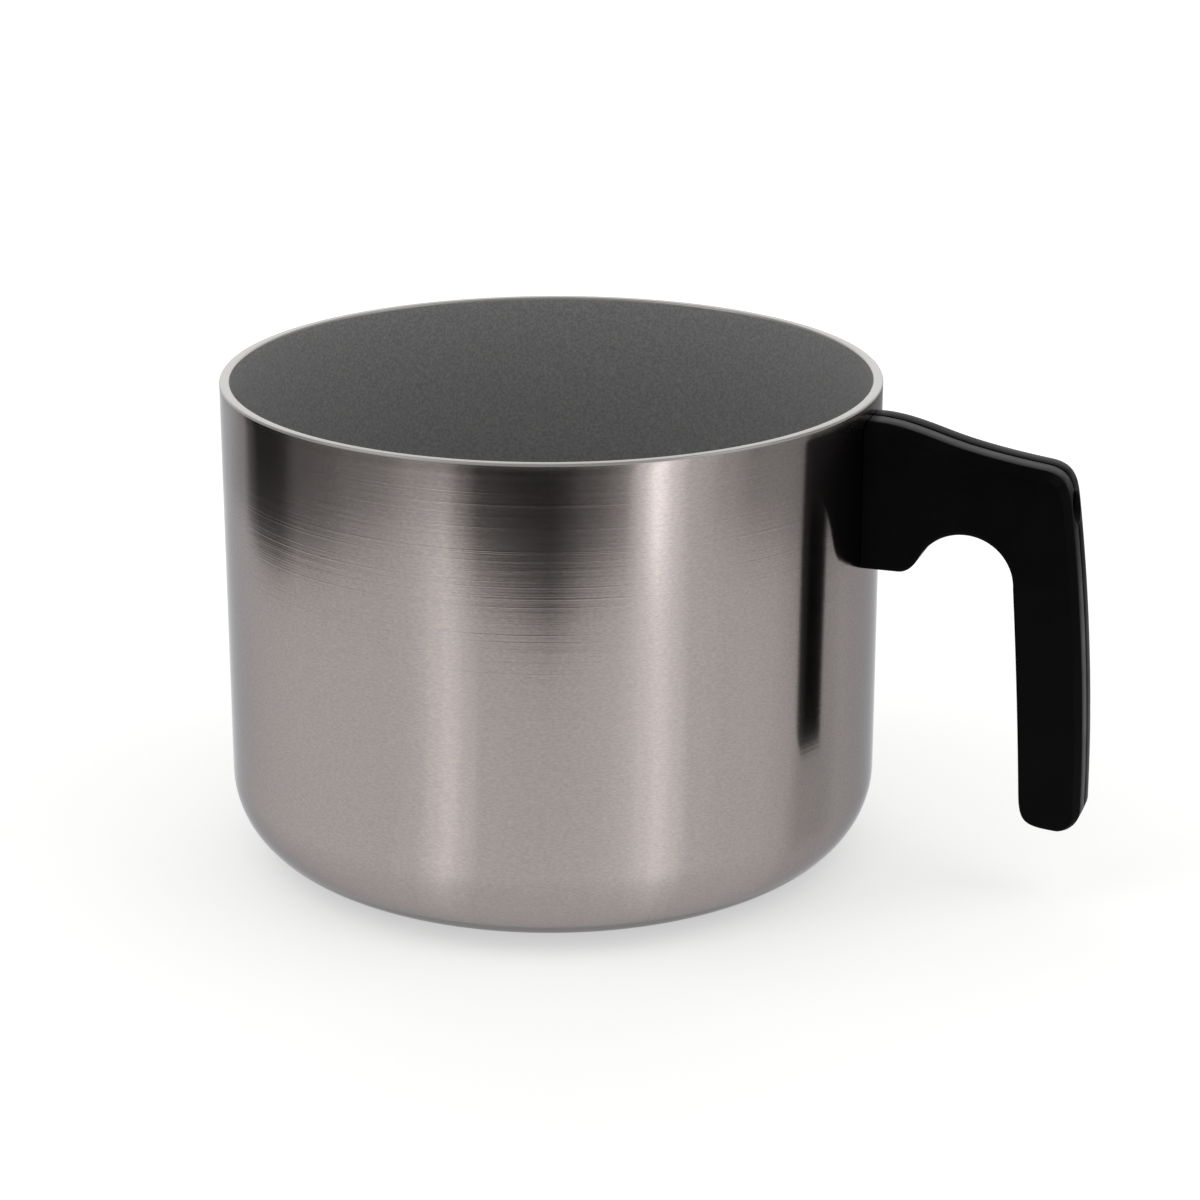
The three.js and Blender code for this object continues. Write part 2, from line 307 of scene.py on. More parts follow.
def turned_tree():
    """Turns an outline of points (radius, 0, height) about the Z axis. Each edge of the outline carries
    the number of its finish, and the surface that the edge makes takes that material. Each point carries
    how much of a screw thread is cut there."""
    tree = bpy.data.node_groups.new("turned on a lathe", "GeometryNodeTree")
    face = tree.interface
    face.new_socket("Outline", in_out="INPUT", socket_type="NodeSocketGeometry")
    face.new_socket("Sides", in_out="INPUT", socket_type="NodeSocketInt")
    for name in ("Weld distance", "Thread pitch", "Thread depth"):
        face.new_socket(name, in_out="INPUT", socket_type="NodeSocketFloat")
    for number in range(FINISHES):
        face.new_socket(f"Finish {number}", in_out="INPUT", socket_type="NodeSocketMaterial")
    face.new_socket("Geometry", in_out="OUTPUT", socket_type="NodeSocketGeometry")
    given = tree.nodes.new("NodeGroupInput").outputs

    def calculate(operation, a, b=0.0):
        return add(tree, "ShaderNodeMath", {0: a, 1: b}, operation=operation).outputs[0]

    def outline_value(value, index, kind, domain):
        taken = add(tree, "GeometryNodeSampleIndex", data_type=kind, domain=domain)
        for name, source in (("Geometry", given["Outline"]), ("Value", value), ("Index", index)):
            tree.links.new(source, taken.inputs[name])
        return taken.outputs["Value"]

    def mark(name, kind):
        named = add(tree, "GeometryNodeInputNamedAttribute", {"Name": name}, data_type=kind)
        return named.outputs["Attribute"]

    # A grid whose rows follow the outline and whose columns go round; the last column meets the first.
    points = add(tree, "GeometryNodeAttributeDomainSize", {"Geometry": given["Outline"]})
    columns = calculate("ADD", given["Sides"], 1)
    counts = {"Vertices X": points.outputs["Point Count"], "Vertices Y": columns}
    grid = add(tree, "GeometryNodeMeshGrid", counts).outputs["Mesh"]
    index = add(tree, "GeometryNodeInputIndex").outputs["Index"]
    row = calculate("FLOOR", calculate("DIVIDE", calculate("ADD", index, 0.5), columns))
    column = calculate("SUBTRACT", index, calculate("MULTIPLY", row, columns))
    turn = calculate("DIVIDE", column, given["Sides"])

    place = add(tree, "GeometryNodeInputPosition").outputs["Position"]
    outline_point = outline_value(place, row, "FLOAT_VECTOR", "POINT")
    point = add(tree, "ShaderNodeSeparateXYZ", {"Vector": outline_point}).outputs
    height = calculate("DIVIDE", point["Z"], given["Thread pitch"])
    groove = calculate("PINGPONG", calculate("ADD", height, turn), 0.5)
    share = outline_value(mark("thread", "FLOAT"), row, "FLOAT", "POINT")
    cut_in = calculate("MULTIPLY", calculate("MULTIPLY", groove, share), given["Thread depth"])
    radius = calculate("SUBTRACT", point["X"], calculate("MULTIPLY", cut_in, 2))
    swung = add(
        tree,
        "ShaderNodeVectorRotate",
        {
            "Vector": add(tree, "ShaderNodeCombineXYZ", {"X": radius, "Z": point["Z"]}).outputs["Vector"],
            "Angle": calculate("MULTIPLY", turn, -math.tau),
        },
        rotation_type="Z_AXIS",
    )
    shaped = add(tree, "GeometryNodeSetPosition", {"Geometry": grid, "Position": swung.outputs["Vector"]})

    strip = calculate("FLOOR", calculate("DIVIDE", calculate("ADD", index, 0.5), given["Sides"]))
    own_finish = mark("finish", "INT")
    marked = add(
        tree,
        "GeometryNodeStoreNamedAttribute",
        {
            "Geometry": shaped.outputs["Geometry"],
            "Name": "finish",
            "Value": outline_value(own_finish, strip, "INT", "EDGE"),
        },
        data_type="INT",
        domain="FACE",
    )
    welded = add(
        tree,
        "GeometryNodeMergeByDistance",
        {"Geometry": marked.outputs["Geometry"], "Distance": given["Weld distance"]},
    )
    realized = add(tree, "GeometryNodeRealizeInstances", {"Geometry": welded.outputs["Geometry"]})
    result = realized.outputs["Geometry"]
    for finish in range(FINISHES):
        both = {2: own_finish, 3: finish}
        chosen = add(tree, "FunctionNodeCompare", both, data_type="INT", operation="EQUAL").outputs["Result"]
        painted = {"Geometry": result, "Selection": chosen, "Material": given[f"Finish {finish}"]}
        result = add(tree, "GeometryNodeSetMaterial", painted).outputs["Geometry"]
    add(tree, "NodeGroupOutput", {"Geometry": result})
    return tree


def turned(name, outline, sides, finishes, edge_finishes=None, thread=None):
    """A closed turned piece about the Z axis, from an outline of (radius, height) that starts and ends on
    the axis. The thread is given as a function of height, 1 where it is cut to its full depth."""
    mesh = bpy.data.meshes.new(name)
    edges = [(i, i + 1) for i in range(len(outline) - 1)]
    mesh.from_pydata([(radius, 0, height) for radius, height in outline], edges, [])
    numbers = edge_finishes or [0] * len(edges)
    mesh.attributes.new("finish", "INT", "EDGE").data.foreach_set("value", numbers)
    shares = [thread(height) if thread and radius else 0.0 for radius, height in outline]
    mesh.attributes.new("thread", "FLOAT", "POINT").data.foreach_set("value", shares)
    piece = new_object(name, mesh)
    modifier = piece.modifiers.new("turned", "NODES")
    modifier.node_group = TURNED
    values = {"Sides": sides, "Weld distance": WELD}
    values |= {"Thread pitch": THREAD_PITCH, "Thread depth": THREAD_DEPTH}
    for number in range(FINISHES):
        values[f"Finish {number}"] = finishes[min(number, len(finishes) - 1)]
    for socket in TURNED.interface.items_tree:
        if socket.in_out == "INPUT" and socket.name in values:
            modifier[socket.identifier] = values[socket.name]
    applied(piece)
    for attribute in [a for a in piece.data.attributes if a.name in ("finish", "UVMap")]:
        piece.data.attributes.remove(attribute)
    return piece


# ---------------------------------------------------------------- pot


def pot_outline():
    """The shell's outline from the middle of the base, up the outside, over the rim and down the inside,
    with a finish number for each edge: 0 satin outside, 1 turned rim, 2 non-stick inside."""
    base_step, wall_step = 4 * MM, 2 * MM
    inner_corner = POT_CORNER - POT_WALL
    corner_x, corner_z = POT_RADIUS - POT_CORNER, POT_BASE + inner_corner
    rim_z = POT_HEIGHT - RIM_EDGE
    outside = straight((0, 0), (corner_x, 0), base_step)
    outside += arc(corner_x, POT_CORNER, POT_CORNER, -90, 0, 24)[:-1]
    outside += straight((POT_RADIUS, POT_CORNER), (POT_RADIUS, rim_z), wall_step)
    rim = arc(POT_RADIUS - RIM_EDGE, rim_z, RIM_EDGE, 0, 90, 5)
    rim += arc(POT_INNER + RIM_EDGE, rim_z, RIM_EDGE, 90, 180, 5)[:-1]
    inside = straight((POT_INNER, rim_z), (POT_INNER, corner_z), wall_step)
    inside += arc(corner_x, corner_z, inner_corner, 0, -90, 24)[:-1]
    inside += straight((corner_x, POT_BASE), (0, POT_BASE), base_step)
    inside.append((0, POT_BASE))
    marks = [0] * len(outside) + [1] * len(rim) + [2] * (len(inside) - 1)
    return outside + rim + inside, marks


def make_pot():
    """The drawn shell, with its three finishes and the two rivet holes in its wall."""
    outline, marks = pot_outline()
    shell = turned("pot_shell", outline, POT_SIDES, [SATIN_ALUMINIUM, TURNED_RIM, NON_STICK], marks)
    through = [(RIVET_HOLE, POT_INNER - POT_WALL), (RIVET_HOLE, POT_RADIUS + POT_WALL)]
    return cut(shell, *[along_x(cutter(through, 48), height) for height in RIVET_HEIGHTS.values()])


# ---------------------------------------------------------------- handle


def handle_outline():
    """The moulding's side outline in millimetres, as (x, z, band) points from inside the wall along the
    top, down the back and up the front to inside the wall again. Band is 1 where the edge is the broad
    flat one with chamfers, and 0 where it is only rounded over."""
    root = POT_INNER / MM - 4
    heel, toe = 4.6, (104.6, 23.5)
    notch_x, notch_z, notch_radius = 91.24, 68.56, 10.4
    top = straight((root, HEAD_TOP), (71, HEAD_TOP), OUTLINE_STEP)
    top += bezier([(71, HEAD_TOP), (76, HEAD_TOP), (81, 99.4), (86, 97.9)], 20)
    top += bezier([(86, 97.9), (92, 96.1), (99.5, 94.8), (106.5, 93.9)], 20)[1:]
    top += bezier([(106.5, 93.9), (111.6, 93.3), (112.3, 90.2), (112.95, 85.4)], 20)[1:]
    top += bezier([(112.95, 85.4), (GRIP_BACK, 52.7), (GRIP_BACK, GRIP_BOTTOM + heel)], 40)[1:]
    corner = arc(GRIP_BACK - heel, GRIP_BOTTOM + heel, heel, 0, -90, 12)[1:]
    under = bezier([(109.5, 16.7), (106, 17.3), (104.9, 18.2), toe], 16)
    under += bezier([toe, (103.5, 46), (notch_x + notch_radius, notch_z)], 40)[1:]
    under += arc(notch_x, notch_z, notch_radius, 0, 150, 48)[1:]
    under += bezier([under[-1], (81.43, 72.37), (80.2, HEAD_BOTTOM), (77.6, HEAD_BOTTOM)], 16)[1:]
    under += straight((root, HEAD_BOTTOM), under[-1], OUTLINE_STEP)[::-1]
    points = [(x, z, 1.0) for x, z in top]
    points += [(x, z, 1 - (i + 1) / len(corner)) for i, (x, z) in enumerate(corner)]
    points += [(x, z, 0.0) for x, z in under]
    return even(points, OUTLINE_STEP)


def even(points, step):
    """The open outline through the points, redrawn in even steps."""
    points = [Vector(p) for p in points]
    lengths = [(b.xy - a.xy).length for a, b in zip(points, points[1:])]
    count = round(sum(lengths) / step)
    spaced, walked, leg = [], 0.0, 0
    for i in range(count):
        reach = i * sum(lengths) / count
        while walked + lengths[leg] < reach:
            walked += lengths[leg]
            leg += 1
        spaced.append(points[leg].lerp(points[leg + 1], (reach - walked) / lengths[leg]))
    return spaced + [points[-1]]


def edge_section(band):
    """Half of the moulding's edge in millimetres, from the parting line to the side face, as (inset, half
    width). The broad edge has the parting line's groove, a drafted strip and a chamfer. The plain one is
    rounded, with as many points."""
    half = HANDLE_HALF
    broad = [(0.46, 0), (0.44, 0.16), (0.06, 0.36), (0, 0.5), (0.08, 4.5), (0.13, 4.75), (0.28, 4.98)]
    broad += [(1.0, 6.05), (1.2, 6.33), (1.42, half - 0.12), (1.75, half - 0.03), (2.3, half), (3, half)]
    plain = [(0.2, 0), (0.17, 0.08), (0.04, 0.2), (0, 0.32), (0, half - 1.6), (0, half - 1.1)]
    plain += [(0, half - 0.8), (0.06, half - 0.5), (0.23, half - 0.23), (0.5, half - 0.06)]
    plain += [(0.8, half), (1.1, half), (1.5, half)]
    return [Vector(p).lerp(Vector(b), band) for p, b in zip(plain, broad)]


def handle_moulding():
    """The outer form: the edge section carried along the side outline, with flat sides and a flat root."""
    outline = handle_outline()
    rings = []
    for i, here in enumerate(outline):
        tangent = (outline[min(i + 1, len(outline) - 1)] - outline[max(i - 1, 0)]).xy.normalized()
        inward = Vector((tangent.y, -tangent.x))
        section = edge_section(here.z)
        whole = [(inset, -width) for inset, width in section[:0:-1]] + [tuple(point) for point in section]
        ring = [(here.x + inward.x * inset, width, here.y + inward.y * inset) for inset, width in whole]
        rings.append(ring)
    across, last = len(rings[0]), len(rings) - 1
    faces = grid_faces(len(rings), across, closed=False)
    faces.append([i * across for i in range(last + 1)])
    faces.append([i * across + across - 1 for i in range(last, -1, -1)])
    faces.append([*range(across - 1, -1, -1), *range(last * across, (last + 1) * across)])
    mesh = bpy.data.meshes.new("handle_moulding")
    mesh.from_pydata([Vector(point) * MM for ring in rings for point in ring], [], faces)
    return new_object("handle_moulding", outward(mesh))


def make_handle():
    """The moulding, seated on the round wall, with a pocket for the strap and a stepped bore for the screw
    that opens in a small funnel at the back."""
    piece = handle_moulding()
    piece.data.materials.append(BLACK_PHENOLIC)
    wall = cutter([(SEAT, HEAD_BOTTOM * MM - POT_WALL), (SEAT, POT_HEIGHT + POT_WALL)], 720)
    gap = 0.8 * MM
    pocket_low = (POT_INNER, STRAP_LOW.y - gap, STRAP_LOW.z - gap)
    pocket_high = (STRAP_HIGH.x + gap, STRAP_HIGH.y + gap, STRAP_HIGH.z + gap)
    pocket = rounded_block("pocket", pocket_low, pocket_high, gap)
    mouth, past_back = 112.1 * MM, GRIP_BACK * MM + POT_WALL
    steps = [(SCREW_HOLE, POT_INNER), (SCREW_HOLE, COUNTERBORE_FLOOR), (COUNTERBORE, COUNTERBORE_FLOOR)]
    steps += [(COUNTERBORE, mouth), (COUNTERBORE + 0.45 * MM, mouth + 0.45 * MM)]
    steps += [(COUNTERBORE + 1.5 * MM, mouth + 1.9 * MM), (COUNTERBORE + 1.5 * MM, past_back)]
    return cut(piece, wall, pocket, along_x(cutter(steps, 64)))


# ---------------------------------------------------------------- fixing hardware


def handle_rivet(name):
    """A rivet along +X: a low domed head on the pot's inside wall, a shank, and an upset tail on the
    strap."""
    seat = POT_INNER - 0.02 * MM
    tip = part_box(name)[0].x
    tail = STRAP_FOOT + STRAP_THICK / 2 + 0.02 * MM
    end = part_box(name)[1].x
    lip, edge = 0.35 * MM, 0.3 * MM
    rise = seat - lip - tip
    dome_radius = (RIVET_HEAD**2 + rise**2) / (2 * rise)
    swing = math.degrees(math.asin(RIVET_HEAD / dome_radius))
    outline = arc(0, tip + dome_radius, dome_radius, -90, swing - 90, 14)
    outline += [(RIVET_HEAD, seat - 0.05 * MM), (RIVET_HEAD - 0.05 * MM, seat), (RIVET_SHANK, seat)]
    outline += [(RIVET_SHANK, tail), (RIVET_TAIL - 0.1 * MM, tail)]
    outline += arc(RIVET_TAIL - edge, end - edge, edge, 0, 90, 5) + [(0, end)]
    outline[0] = (0, tip)
    piece = along_x(turned(name + "_set", outline, 64, [RIVET_ALUMINIUM]), RIVET_HEIGHTS[name])
    return wrapped(piece)


def wrapped(piece, fade_from=None, fade_to=None):
    """Bends a piece round the pot's wall, fully up to one distance along X and not at all past another."""
    for vertex in piece.data.vertices:
        share = 1.0
        if fade_from:
            share = min(max((fade_to - vertex.co.x) / (fade_to - fade_from), 0), 1)
        vertex.co.x -= share * (POT_RADIUS - math.sqrt(POT_RADIUS**2 - vertex.co.y**2))
    return piece


def strap_path():
    """The strap's middle line as (x, z) from its upper foot to its lower one, z measured from the screw."""
    bend = 1.35 * MM
    foot_end = STRAP_HIGH.z - SCREW_Z
    bridge = STRAP_HIGH.x - STRAP_THICK / 2
    half = [(STRAP_FOOT, foot_end), (STRAP_FOOT, foot_end - 0.4 * MM)]
    half += arc(STRAP_FOOT + bend, STRAP_LEG + bend, bend, 180, 270, 8)
    half += arc(bridge - bend, STRAP_LEG - bend, bend, 90, 0, 8)
    return half + [(x, -z) for x, z in reversed(half)]


def strap_section():
    """The strap's section as (across, through) points: a flat with its edges broken."""
    half, edge, steps = (STRAP_HIGH.y - STRAP_LOW.y) / 2, 0.22 * MM, 4
    flat = straight((-half + edge, STRAP_THICK / 2), (half - edge, STRAP_THICK / 2), half / steps)
    side = flat + arc(half - edge, STRAP_THICK / 2 - edge, edge, 90, 0, 3)
    return side + [(-across, -through) for across, through in side]


def make_strap():
    """The steel strap: bent to a hat section, with two rivet holes in its feet and the screw's hole in its
    bridge. Its feet follow the round wall."""
    path, section = strap_path(), strap_section()
    rings = []
    for i, (x, z) in enumerate(path):
        before, after = path[max(i - 1, 0)], path[min(i + 1, len(path) - 1)]
        tangent = Vector((after[0] - before[0], after[1] - before[1])).normalized()
        rings.append([(x - tangent.y * d, y, SCREW_Z + z + tangent.x * d) for y, d in section])
    around = len(section)
    faces = grid_faces(len(rings), around, closed=True)
    faces.append(list(range(around)))
    faces.append(list(range(len(rings) * around - 1, (len(rings) - 1) * around - 1, -1)))
    mesh = bpy.data.meshes.new("strap")
    mesh.from_pydata([point for ring in rings for point in ring], [], faces)
    mesh.materials.append(ZINC_PLATED_STEEL)
    straight_from = STRAP_HIGH.x
    piece = new_object("handle_strap", outward(mesh))
    wrapped(piece, straight_from - 3 * STRAP_THICK, straight_from)
    bore = along_x(cutter([(SCREW_HOLE, POT_INNER), (SCREW_HOLE, STRAP_HIGH.x + STRAP_THICK)], 48))
    through = [(RIVET_HOLE, POT_INNER), (RIVET_HOLE, STRAP_HIGH.x)]
    holes = [along_x(cutter(through, 48), z) for z in RIVET_HEIGHTS.values()]
    return cut(piece, bore, *holes)


def make_nut():
    """A square plate nut, its edges broken and its thread countersunk on both faces."""
    low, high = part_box("bracket_nut")
    piece = rounded_block("strap_nut", low, high, 0.3 * MM)
    piece.data.materials.append(ZINC_PLATED_STEEL)
    sink = 0.45 * MM
    tapped = SCREW_RADIUS + 0.06 * MM
    outline = [(tapped + sink, low.x - sink), (tapped + sink, low.x), (tapped, low.x + sink)]
    outline += straight((tapped, low.x + sink), (tapped, high.x - sink), THREAD_PITCH / 8)[1:]
    outline += [(tapped, high.x - sink), (tapped + sink, high.x), (tapped + sink, high.x + sink)]

    def thread(height):
        return float(low.x + sink < height < high.x - sink)

    return cut(piece, along_x(cutter(outline, 48, thread)))


def make_screw():
    """The long machine screw: a chamfered tip, a cut thread, a plain shank and a cheese head with a cross
    recess."""
    tip, top = SCREW_LOW.x, SCREW_HIGH.x
    under, edge, point = top - SCREW_HEAD_HEIGHT, 0.5 * MM, 0.45 * MM
    thread_end = tip + THREAD_LENGTH
    outline = [(0, tip), (SCREW_RADIUS - point, tip), (SCREW_RADIUS, tip + point)]
    outline += straight((SCREW_RADIUS, tip + point), (SCREW_RADIUS, thread_end), THREAD_PITCH / 8)[1:]
    outline += [(SCREW_RADIUS, thread_end), (SCREW_RADIUS, under - 0.2 * MM)]
    outline += [(SCREW_RADIUS + 0.2 * MM, under)]
    outline += [(SCREW_HEAD - 0.1 * MM, under), (SCREW_HEAD, under + 0.1 * MM)]
    outline += arc(SCREW_HEAD - edge, top - edge, edge, 0, 80, 6) + [(0, top)]

    def thread(height):
        start, run_out = (height - tip - point) / point, (thread_end - height) / point
        return min(max(start, 0), max(run_out, 0), 1)

    piece = along_x(turned("handle_machine_screw", outline, 48, [ZINC_PLATED_STEEL], thread=thread))
    return cut(piece, *driver_cross(top))


def driver_cross(top):
    """Two tapered blades that cut the screw head's cross recess."""
    reach, wide, deep = 1.7 * MM, 0.45 * MM, 1.4 * MM
    taper_along, taper_across = 0.55, 0.7
    blades = []
    for turn in (0, 90):
        blade = rounded_block("blade", (top - deep, -reach, -wide), (top + deep, reach, wide), 0)
        for vertex in blade.data.vertices:
            if vertex.co.x < top:
                vertex.co.y *= taper_along
                vertex.co.z *= taper_across
        spin = Matrix.Rotation(math.radians(45 + turn), 4, "X")
        blade.data.transform(Matrix.Translation((0, 0, SCREW_Z)) @ spin)
        blades.append(blade)
    return blades


# ---------------------------------------------------------------- finishes


def surface(tree):
    """Object coordinates of the surface: the whole vector, its parts, and the distance across brush lines
    that run round the Z axis, which is height on a wall and radius on a flat."""
    place = add(tree, "ShaderNodeTexCoord").outputs["Object"]
    parts = add(tree, "ShaderNodeSeparateXYZ", {"Vector": place}).outputs
    level = add(tree, "ShaderNodeVectorMath", {0: place, 1: (1, 1, 0)}, operation="MULTIPLY")
    radius = add(tree, "ShaderNodeVectorMath", {0: level.outputs["Vector"]}, operation="LENGTH")
    across = add(tree, "ShaderNodeMath", {0: radius.outputs["Value"], 1: parts["Z"]}, operation="ADD")
    return place, parts, across.outputs["Value"]


def rings(tree, length, width, detail=2.0):
    """Noise drawn out into lines round the Z axis, of a typical length and width in millimetres, 0 to 1."""
    place, parts, across = surface(tree)
    axes = {}
    for axis, value, size in (("X", parts["X"], length), ("Y", parts["Y"], length), ("Z", across, width)):
        scaled = add(tree, "ShaderNodeMath", {0: value, 1: size * MM}, operation="DIVIDE")
        axes[axis] = scaled.outputs["Value"]
    stretched = add(tree, "ShaderNodeCombineXYZ", axes).outputs["Vector"]
    settings = {"Vector": stretched, "Scale": 1.0, "Detail": detail, "Roughness": 0.6}
    return add(tree, "ShaderNodeTexNoise", settings).outputs["Fac"]


def grains(tree, size, detail=2.0):
    """Even noise with a typical grain size in millimetres, 0 to 1."""
    place = add(tree, "ShaderNodeTexCoord").outputs["Object"]
    settings = {"Vector": place, "Scale": 1 / (size * MM), "Detail": detail, "Roughness": 0.6}
    return add(tree, "ShaderNodeTexNoise", settings).outputs["Fac"]


def mapped(tree, value, low, high, to_low, to_high):
    """A value taken from one range to another, held at the ends."""
    settings = {"Value": value, "From Min": low, "From Max": high, "To Min": to_low, "To Max": to_high}
    return add(tree, "ShaderNodeMapRange", settings).outputs["Result"]


def blend(tree, share, colour_a, colour_b):
    """A colour between two hex colours."""
    settings = {"Factor": share, "A": linear(colour_a), "B": linear(colour_b)}
    mixed = add(tree, "ShaderNodeMix", data_type="RGBA")
    for socket in mixed.inputs:
        if socket.type == "RGBA" or socket.name == "Factor" and socket.type == "VALUE":
            value = settings[socket.name]
            if isinstance(value, bpy.types.NodeSocket):
                tree.links.new(value, socket)
            else:
                socket.default_value = value
    return [out for out in mixed.outputs if out.type == "RGBA"][0]


def bumps(tree, *layers):
    """A normal from layers of (height 0 to 1, depth in millimetres), one on another."""
    normal = None
    for height, depth in layers:
        settings = {"Height": height, "Distance": depth * MM, "Strength": 1.0}
        if normal:
            settings["Normal"] = normal
        normal = add(tree, "ShaderNodeBump", settings).outputs["Normal"]
    return normal


def satin_aluminium():
    """Drawn aluminium, satin-brushed round the pot with a fine abrasive belt: the eye sees hair-fine rings
    of uneven length, sharp reflections across and soft ones up and down, and a warm grey body that stays
    grey at its edges. The hairs of a real belt are about 0.05 mm wide; they are drawn at 0.3 mm and more so
    that they show."""
    made, tree = material("satin brushed aluminium")
    grain = rings(tree, 0.8, 0.3, 1)
    hair = rings(tree, 45, 0.3, 1)
    scratch = rings(tree, 90, 0.5, 1)
    deep_scratch = mapped(tree, rings(tree, 120, 0.42, 1), 0.58, 0.8, 0, 1)
    pass_mark = rings(tree, 160, 6, 1)
    tone = blend(tree, mapped(tree, grain, 0.25, 0.75, 0, 1), "#999193", "#a8a099")
    relief = bumps(tree, (pass_mark, 0.003), (scratch, 0.0042), (deep_scratch, 0.0048), (hair, 0.0008))
    shader = add(
        tree,
        "ShaderNodeBsdfPrincipled",
        {
            "Base Color": tone,
            "Metallic": 1.0,
            "Specular Tint": linear("#cbcdd0"),
            "Roughness": mapped(tree, hair, 0.3, 0.7, 0.118, 0.134),
            "Anisotropic": 0.85,
            "Anisotropic Rotation": 0.25,
            "Tangent": add(tree, "ShaderNodeTangent", direction_type="RADIAL", axis="Z").outputs["Tangent"],
            "Normal": relief,
        },
    )
    finish_with(tree, shader)
    return made


def turned_rim():
    """Aluminium faced on a lathe: a bright ring with fine concentric tool marks."""
    made, tree = material("lathe-faced aluminium")
    tool_mark = rings(tree, 40, 0.22, 2)
    shader = add(
        tree,
        "ShaderNodeBsdfPrincipled",
        {
            "Base Color": blend(tree, mapped(tree, tool_mark, 0.35, 0.65, 0, 1), "#9e9c99", "#b2b0ad"),
            "Metallic": 1.0,
            "Roughness": mapped(tree, tool_mark, 0.3, 0.7, 0.28, 0.42),
            "Anisotropic": 0.4,
            "Anisotropic Rotation": 0.25,
            "Tangent": add(tree, "ShaderNodeTangent", direction_type="RADIAL", axis="Z").outputs["Tangent"],
            "Normal": bumps(tree, (tool_mark, 0.002)),
        },
    )
    finish_with(tree, shader)
    return made


def non_stick():
    """Non-stick coating, sprayed and baked: matt dark grey with a fine mica speckle and a slight orange
    peel."""
    made, tree = material("sprayed non-stick coating")
    speckle = grains(tree, 0.55, 1.0)
    peel = grains(tree, 1.6, 2.0)
    cloud = grains(tree, 22, 2.0)
    fleck = mapped(tree, speckle, 0.35, 0.68, 0, 1)
    shader = add(
        tree,
        "ShaderNodeBsdfPrincipled",
        {
            "Base Color": blend(tree, fleck, "#8e8e8e", "#a4a4a3"),
            "Roughness": mapped(tree, cloud, 0.3, 0.7, 0.58, 0.66),
            "Specular IOR Level": 0.15,
            "Normal": bumps(tree, (peel, 0.03), (speckle, 0.01)),
        },
    )
    finish_with(tree, shader)
    return made


def black_phenolic():
    """Black phenolic, compression-moulded in a bead-blasted tool: a deep black with a dull sheen that is a
    little uneven, and a grain that only shows where light grazes it."""
    made, tree = material("moulded black phenolic")
    grain = grains(tree, 0.45, 2.0)
    flow = grains(tree, 9, 3.0)
    shader = add(
        tree,
        "ShaderNodeBsdfPrincipled",
        {
            "Base Color": blend(tree, mapped(tree, flow, 0.35, 0.65, 0, 1), "#040404", "#070708"),
            "Roughness": mapped(tree, flow, 0.3, 0.7, 0.3, 0.38),
            "Specular IOR Level": 0.035,
            "Normal": bumps(tree, (grain, 0.01)),
        },
    )
    finish_with(tree, shader)
    return made


def zinc_plated_steel():
    """Bright zinc-plated steel: a cool grey with faint cloudy mottling from the bath and soft
    reflections."""
    made, tree = material("bright zinc-plated steel")
    mottle = grains(tree, 1.8, 3.0)
    fine = grains(tree, 0.3, 2.0)
    shader = add(
        tree,
        "ShaderNodeBsdfPrincipled",
        {
            "Base Color": blend(tree, mapped(tree, mottle, 0.3, 0.7, 0, 1), "#aeb3ba", "#c9cccf"),
            "Metallic": 1.0,
            "Roughness": mapped(tree, mottle, 0.3, 0.7, 0.24, 0.4),
            "Normal": bumps(tree, (fine, 0.004)),
        },
    )
    finish_with(tree, shader)
    return made


def rivet_aluminium():
    """Cold-headed soft aluminium: a pale, slightly hammered dome with a dull polish."""
    made, tree = material("cold-headed aluminium")
    hammer = grains(tree, 1.1, 1.0)
    fine = grains(tree, 0.25, 2.0)
    shader = add(
        tree,
        "ShaderNodeBsdfPrincipled",
        {
            "Base Color": blend(tree, mapped(tree, hammer, 0.3, 0.7, 0, 1), "#c6c4c1", "#dad8d4"),
            "Metallic": 1.0,
            "Roughness": mapped(tree, fine, 0.3, 0.7, 0.28, 0.42),
            "Normal": bumps(tree, (hammer, 0.012), (fine, 0.002)),
        },
    )
    finish_with(tree, shader)
    return made


# ---------------------------------------------------------------- studio


def studio_direction(azimuth, elevation=0.0):
    """A direction from the pot: azimuth in degrees from the camera, positive to the camera's right."""
    a, e = VIEW_AZIMUTH + math.radians(azimuth), math.radians(elevation)
    return Vector((math.sin(a) * math.cos(e), -math.cos(a) * math.cos(e), math.sin(e)))


def make_camera():
    """The camera, which looks down on the pot a little, with the handle to its right."""
    lens = bpy.data.cameras.new("camera")
    lens.lens = VIEW_LENS
    camera = new_object("camera", lens)
    aim = Vector((0, 0, POT_HEIGHT / 2)) + AIM_OFF_CENTRE
    back = studio_direction(0, math.degrees(VIEW_ELEVATION))
    camera.location = aim + back * VIEW_DISTANCE
    camera.rotation_euler = back.to_track_quat("Z", "Y").to_euler()
    bpy.context.scene.camera = camera


def softbox(name, azimuth, elevation, distance, width, height, power):
    """A rectangular softbox that faces the pot."""
    light = bpy.data.lights.new(name, "AREA")
    light.shape = "RECTANGLE"
    light.size, light.size_y = width, height
    light.energy = power
    lamp = new_object(name, light)
    way = studio_direction(azimuth, elevation)
    lamp.location = Vector((0, 0, POT_HEIGHT / 2)) + way * distance
    lamp.rotation_euler = way.to_track_quat("Z", "Y").to_euler()
    lamp.visible_camera = False


